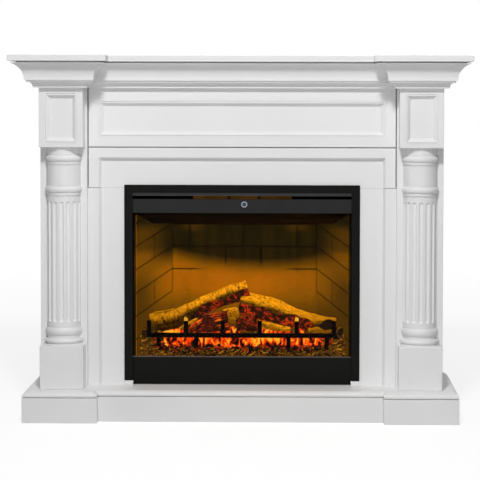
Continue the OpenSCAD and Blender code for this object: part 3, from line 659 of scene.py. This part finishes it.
down = np.linspace(0, 1, bed["rows"])[:, None] ** 1.6
across = np.linspace(-1, 1, bed["cols"])[None, :]
bedY = bed["front"] + (bed["back"] - bed["front"]) * down + 0 * across
bedX = across * (bed["frontHalf"] + (bed["backHalf"] - bed["frontHalf"]) * down)
bedTop = np.stack([bedX, bedY, bedHeight(bedX, bedY)], axis=-1)
bedLow = bedTop.copy()
bedLow[..., 2] = bed["base"]
ragged = 0.010 * layeredNoise(bedX * 90, bedY * 90, bedY * 0 + 2.0, 2)
hotBand = softStep(0.009, 0.014, bedY + 0.4 * ragged) * (1 - softStep(0.065, 0.09, bedY))
hotBand = hotBand * (1 - softStep(0.236, 0.262, np.abs(bedX) + ragged))
wander = bedX + ragged
opened = sum(softStep(low - 0.006, low + 0.003, wander) * (1 - softStep(high - 0.003, high + 0.006, wander))
             for low, high in bed["pockets"])
hotBand *= 1 - softStep(0.213, 0.219, bedTop[..., 2]) * (1 - opened)

flameStops = ((0.0, (0.002, 0.0004, 0.0, 1)), (0.20, (0.10, 0.004, 0.0004, 1)),
              (0.38, (0.80, 0.030, 0.0006, 1)), (0.66, (1.0, 0.075, 0.002, 1)),
              (0.90, (1.0, 0.18, 0.005, 1)), (1.0, (1.0, 0.46, 0.02, 1)))
ashStops = ((0.43, (0.004, 0.002, 0.0004, 1)), (0.51, (0.09, 0.034, 0.002, 1)),
            (0.60, (0.30, 0.116, 0.005, 1)))
emberFinish = Finish("glowingEmbers")
bedGlow = emberFinish.attribute("bedGlow")
x, _, z = emberFinish.axes()
tongues = emberFinish.noise(1.0, 3, emberFinish.stretched((56, 20, 26)), 0.60, 1.3)
broad = emberFinish.noise(1.0, 2, emberFinish.stretched((16, 8, 12)))
height = emberFinish.mapped(z, 0.170, 0.212, -0.12, 0.12)
middle = emberFinish.mapped(emberFinish.math("ABSOLUTE", x), 0.02, 0.20, 0.04, -0.06)
flame = emberFinish.scaled(tongues, 5.2, emberFinish.scaled(broad, 1.1, -2.72))
flame = emberFinish.math("ADD", flame, emberFinish.math("ADD", height, middle))
fire = emberFinish.ramp(emberFinish.times(flame, bedGlow), *flameStops)
ash = emberFinish.noise(260, 5, roughness=0.75)
ashTone = emberFinish.ramp(ash, *ashStops)
# painted firelight on the ash, fading out where the embers glow
paintedAshLight = emberFinish.mix(emberFinish.mapped(bedGlow, 0, 0.5, 0.75, 0), ember["black"], ashTone)
emberFinish.look(Emission_Color=emberFinish.mix(1.0, fire, paintedAshLight, "ADD"), Emission_Strength=ember["glow"],
                 Base_Color=emberFinish.mix(0.12, ember["black"], ashTone), Specular_IOR_Level=0.08,
                 Roughness=emberFinish.mapped(ash, 0.2, 0.8, 0.75, 0.95),
                 Normal=emberFinish.bump(ash, 0.0012))
bedPoints = np.concatenate([bedTop.reshape(-1, 3), bedLow.reshape(-1, 3)])
bedMarks = {"bedGlow": np.append(hotBand.ravel(), 0 * hotBand.ravel())}
emberBed = newPiece("emberBed", bedPoints, slabFaces(bed["rows"], bed["cols"]),
                    emberFinish.material, marks=bedMarks)
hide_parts("ember_bed")
print("bed of embers made")


splinter = np.array([(-0.5, -0.5, -0.5), (-0.35, 0.5, -0.4), (0.5, 0.18, -0.5), (0.42, -0.4, -0.4),
                     (-0.44, -0.4, 0.4), (-0.3, 0.4, 0.5), (0.46, 0.1, 0.3), (0.36, -0.35, 0.5)])
splinterFaces = [(0, 1, 2, 3), (4, 7, 6, 5), (0, 4, 5, 1), (1, 5, 6, 2), (2, 6, 7, 3), (3, 7, 4, 0)]


def turned(shape, yaw, pitch, roll):
    # every copy of the shape, turned about its own length, then tilted, then swung round
    cy, sy, cp, sp, cr, sr = (f(a)[:, None] for a in (yaw, pitch, roll) for f in (np.cos, np.sin))
    x, y, z = (shape[..., k] for k in range(3))
    y, z = y * cr - z * sr, y * sr + z * cr
    x, z = x * cp - z * sp, x * sp + z * cp
    return np.stack([x * cy - y * sy, x * sy + y * cy, z], axis=-1)


def scattered(name, places, sizes, turns, material, tones):
    # copies of one splinter, each with its own size, turn and tone, in one mesh
    points = turned(splinter[None] * sizes[:, None, :], *turns) + places[:, None, :]
    first = np.arange(len(places))[:, None, None] * len(splinter)
    faces = (np.array(splinterFaces)[None] + first).reshape(-1, 4).tolist()
    newPiece(name, points, faces, material, False, {"tone": np.repeat(tones, len(splinter))})


def between(low, high, count):
    return rng.uniform(low, high, count)


def chipFinish(name, paintedGlow, stops):
    # streaked chips with a painted glow, from dark to bright with the tone of each chip
    made = Finish(name)
    streak = made.noise(1.0, 4, made.stretched((220, 500, 700)))
    shade = made.scaled(streak, 0.7, made.scaled(made.attribute("tone"), 0.8, -0.22))
    colour = made.ramp(shade, *stops)
    made.look(Base_Color=made.mix(0.18, ember["black"], colour), Emission_Color=colour, Emission_Strength=paintedGlow,
              Roughness=made.mapped(streak, 0.2, 0.8, 0.7, 0.95), Normal=made.bump(streak, 0.0006),
              Specular_IOR_Level=0.08)
    return made.material


rubble = {"count": 1900, "length": (0.006, 0.022), "width": (0.003, 0.008), "thick": (0.002, 0.005),
          "half": 0.289,
          "stops": ((0.24, (0.003, 0.0015, 0.0003, 1)), (0.48, (0.040, 0.015, 0.001, 1)),
                    (0.74, (0.110, 0.041, 0.002, 1)), (1.0, (0.38, 0.150, 0.005, 1)))}
count = rubble["count"]
atX, atY = between(-rubble["half"], rubble["half"], count), between(-0.006, 0.013, count)
atY += 0.045 * rng.random(count) * (np.abs(atX) > 0.225)
places = np.stack([atX, atY, bedHeight(atX, atY) + between(-0.001, 0.003, count)], axis=-1)
sizes = np.stack([between(*rubble[k], count) for k in ("length", "width", "thick")], axis=-1)
turns = between(-0.7, 0.7, count), between(-0.6, 0.6, count), between(-1.2, 1.2, count)
tones = rng.random(count) ** 1.2 + 0.30 * (np.abs(atX) > 0.235) * rng.random(count)
rubbleFinish = chipFinish("rubble", 1.0, rubble["stops"])
scattered("woodRubble", places, sizes, turns, rubbleFinish, tones)

straws = {"count": 46, "from": -0.082, "to": 0.016, "length": (0.012, 0.024), "width": (0.0025, 0.004),
          "thick": (0.0016, 0.0026), "pitch": 0.11}
count = straws["count"]
atX = np.linspace(straws["from"], straws["to"], count)
lift = 0.5 + 0.5 * np.cos((atX + 0.033) * 2 * np.pi / straws["pitch"])
atY = between(-0.004, 0.006, count)
places = np.stack([atX, atY, 0.166 + 0.012 * lift + between(-0.004, 0.004, count)], axis=-1)
sizes = np.stack([between(*straws[k], count) for k in ("length", "width", "thick")], axis=-1)
turns = between(-0.3, 0.3, count), between(0.35, 0.75, count), between(-0.5, 0.5, count)
scattered("straws", places, sizes, turns, rubbleFinish, np.arange(count) % 2 * 1.0)

coals = {"count": 230, "size": (0.006, 0.015), "half": 0.25,
         "stops": ((0.30, (0.006, 0.002, 0.001, 1)), (0.62, (0.030, 0.006, 0.002, 1)),
                   (0.80, (0.28, 0.016, 0.002, 1)), (0.98, (0.75, 0.07, 0.004, 1)))}
count = coals["count"]
atX, atY = between(-coals["half"], coals["half"], count), between(0.004, 0.017, count)
places = np.stack([atX, atY, bedHeight(atX, atY) + 0.005 * rng.random(count)], axis=-1)
sizes = between(*coals["size"], count)[:, None]
sizes = sizes * np.stack([between(0.6, 1.1, count) for _ in range(3)], axis=-1)
turns = tuple(between(-1.5, 1.5, count) for _ in range(3))
scattered("coals", places, sizes, turns, chipFinish("coals", 0.65, coals["stops"]), rng.random(count))

# painted highlights on the tips of two uprights of the grate: glowing pale chips, a large one with a smaller
# one on it
tipGlints = {"places": ((-0.159, 0.0098, 0.2615), (0.153, 0.0098, 0.2615), (-0.160, 0.0090, 0.266),
                    (0.154, 0.0090, 0.266)),
         "large": (0.0115, 0.011, 0.010), "small": (0.009, 0.009, 0.006),
         "stops": ((0.2, (0.40, 0.19, 0.01, 1)), (0.9, (0.95, 0.42, 0.02, 1)))}
sizes = np.array([tipGlints["large"]] * 2 + [tipGlints["small"]] * 2)
turns = (np.array([0.0, 0.0, 0.5, -0.4]), np.zeros(4), np.array([0.0, 0.0, 0.3, -0.3]))
scattered("grateTipGlints", np.array(tipGlints["places"]), sizes, turns, chipFinish("grateTipGlints", 1.2, tipGlints["stops"]),
          np.array([0.5, 0.6, 0.4, 0.7]))
print("rubble and coals made")


heater = {"halfWidth": 0.1385, "low": 0.5925, "high": 0.6230, "front": 0.010, "fold": 0.0032, "folds": 70,
          "thick": 0.0012, "stays": (-0.038, 0.046), "dark": (0.002, 0.001, 0, 1),
          "warm": (0.060, 0.0245, 0.0022, 1)}
foldX = np.linspace(-heater["halfWidth"], heater["halfWidth"], heater["folds"] * 8 + 1)
zigzag = (foldX / (2 * heater["halfWidth"]) * heater["folds"]) % 1
foldY = heater["front"] + heater["fold"] * np.abs(zigzag * 2 - 1)
rise = np.linspace(heater["low"], heater["high"], 2)[:, None]
sheet = np.stack([foldX + 0 * rise, foldY + 0 * rise, rise + 0 * foldX], axis=-1)
behind = sheet + np.array((0, heater["thick"], 0))
heaterGlow = coatedSteel("heaterFins", srgb(40, 24, 8), 0.5, 0.1)
x = heaterGlow.axes()["X"]
gaps = [heaterGlow.math("ABSOLUTE", heaterGlow.math("SUBTRACT", x, at)) for at in heater["stays"]]
stays = heaterGlow.math("MINIMUM", *gaps)
cloud = heaterGlow.mapped(heaterGlow.noise(16, 3), 0.3, 0.7, 0.5, 1.0)
warm = heaterGlow.times(heaterGlow.mapped(stays, 0.002, 0.005), cloud)
heaterGlow.look(Emission_Color=heaterGlow.mix(warm, heater["dark"], heater["warm"]), Emission_Strength=1.0)
newPiece("heaterFins", np.concatenate([sheet.reshape(-1, 3), behind.reshape(-1, 3)]),
         slabFaces(2, len(foldX)), heaterGlow.material, smooth=False)
print("heater fins made")

canopyLight = {"place": (0.0, 0.06, 0.522), "aim": (0.0, 0.085, 0.25), "size": (0.46, 0.02), "power": 0.22,
               "colour": (1.0, 0.55, 0.08)}
areaLamp("canopyLamp", **canopyLight)
